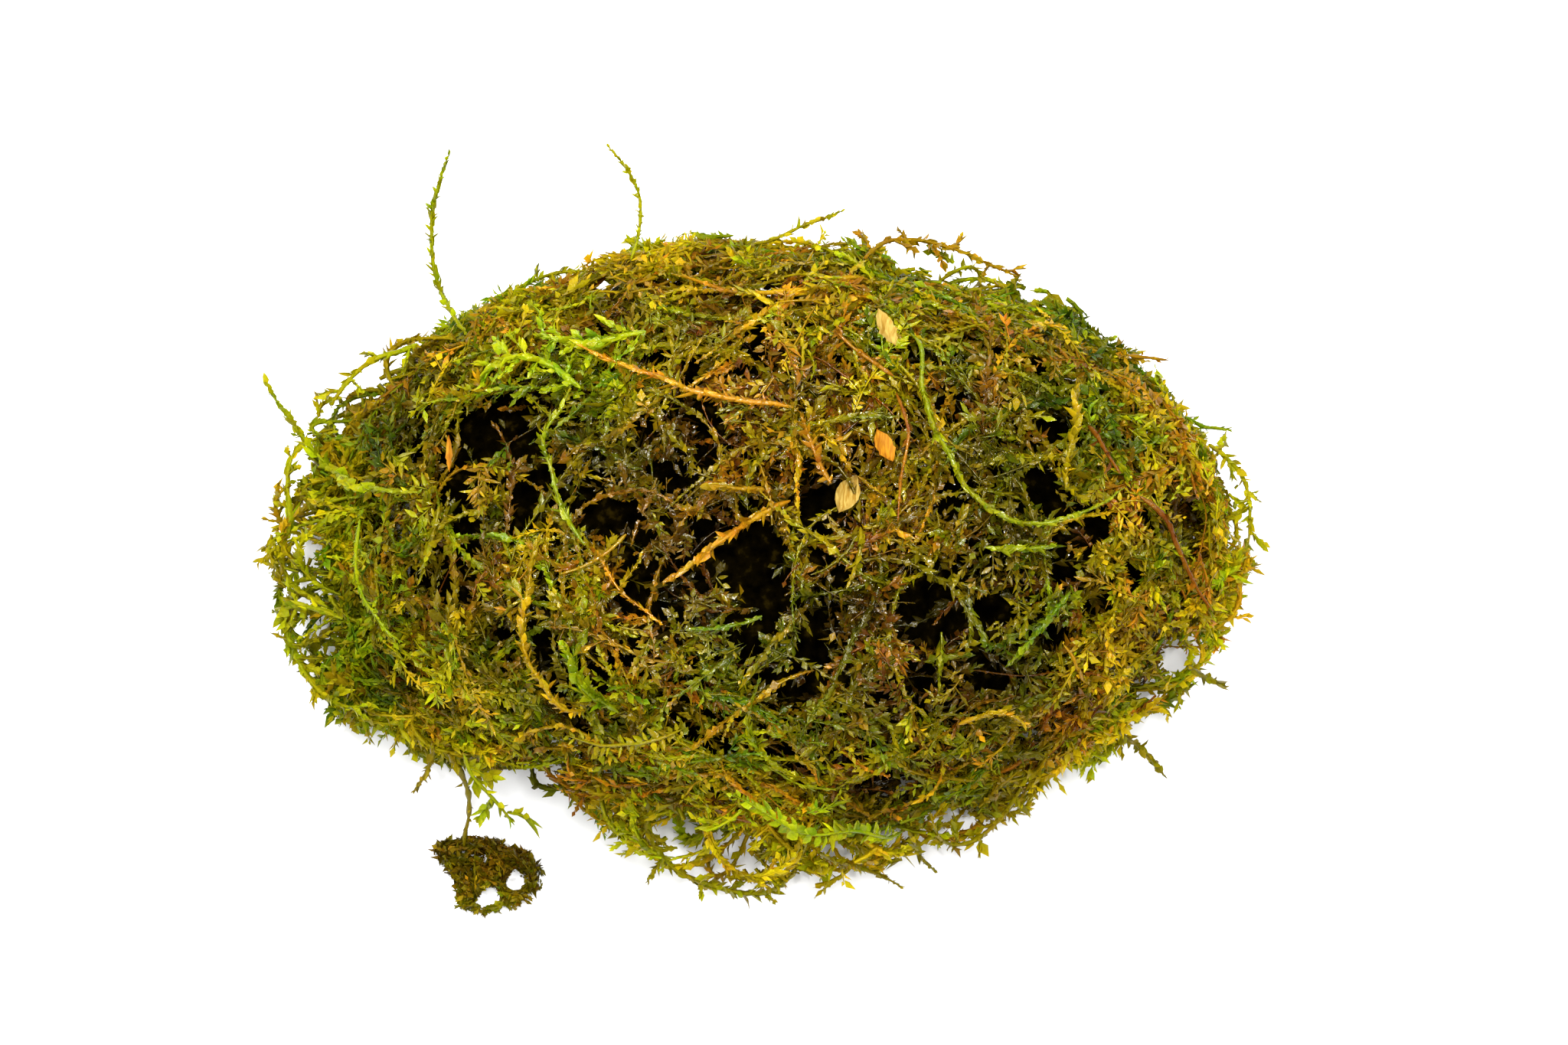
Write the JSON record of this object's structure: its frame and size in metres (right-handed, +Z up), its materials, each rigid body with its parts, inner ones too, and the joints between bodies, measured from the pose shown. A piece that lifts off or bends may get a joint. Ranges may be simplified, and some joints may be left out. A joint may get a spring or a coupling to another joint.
{
  "type": "java moss clump",
  "caption": "Wet clump of java moss lying on a surface: a matted mound of leafy stems with loose wisps, see-through loops at its rim, and a torn tuft on a thread.",
  "frame": {"origin": "on the flat spot of the underside that the clump rests on, at its middle", "axes": "+X runs along the clump's longest extent, to the right seen from the front; +Y points to the back; +Z is up"},
  "size_m": [0.0805, 0.0594, 0.0288],
  "materials": {
    "moss_mass": "matted wet moss, olive with dark gaps",
    "moss_olive": "wet olive moss stem",
    "moss_green": "wet green moss stem",
    "moss_lime": "young lime moss stem",
    "moss_gold": "old gold moss stem",
    "moss_orange": "old orange-brown moss stem",
    "moss_rust": "dead rust-brown moss stem",
    "moss_dark": "dark olive moss",
    "dead_leaf": "dry straw-coloured leaf flake"
  },
  "bodies": {
    "root": {"flake_orange_middle": "dead_leaf", "flake_straw_back": "dead_leaf", "flake_straw_middle": "dead_leaf", "flake_yellow_left": "dead_leaf", "moss_mound": "moss_mass", "stem_brown_short": "moss_orange", "stem_brown_thin": "moss_orange", "stem_feather_front": "moss_green", "stem_gold_hanging": "moss_gold", "stem_gold_short": "moss_gold", "stem_gold_twisted": "moss_gold", "stem_gold_upright_left": "moss_gold", "stem_green_fern_left": "moss_lime", "stem_green_loop": "moss_green", "stem_green_loop_low": "moss_green", "stem_green_middle": "moss_green", "stem_green_right": "moss_green", "stem_green_upright_left": "moss_green", "stem_hook_right": "moss_dark", "stem_lime_front": "moss_lime", "stem_lime_low_left": "moss_lime", "stem_lime_shoot": "moss_lime", "stem_lime_twig": "moss_lime", "stem_loop_back_right": "moss_orange", "stem_loop_front": "moss_dark", "stem_loop_front_right": "moss_olive", "stem_loop_left": "moss_olive", "stem_loop_left_low": "moss_dark", "stem_loop_left_middle": "moss_olive", "stem_loop_right": "moss_olive", "stem_olive_fork_left": "moss_olive", "stem_olive_low": "moss_olive", "stem_orange_arch": "moss_orange", "stem_orange_long": "moss_orange", "stem_orange_right": "moss_orange", "stem_orange_slant": "moss_orange", "stem_rust_right": "moss_rust", "stem_rust_right_short": "moss_rust", "stem_rust_upright": "moss_rust", "stem_spike_back": "moss_olive", "stem_spike_back_right": "moss_olive", "stem_spike_back_small": "moss_green", "stem_spike_front": "moss_dark", "stem_spike_front_left": "moss_dark", "stem_spike_front_right": "moss_dark", "stem_spike_right": "moss_dark", "stem_twig_right": "moss_green", "stem_wisp_back": "moss_green", "stem_wisp_back_left": "moss_green", "stem_wisp_left": "moss_green", "stem_yellow_upright": "moss_gold", "thread": "moss_dark", "tuft": "moss_dark"}
  },
  "joints": []
}
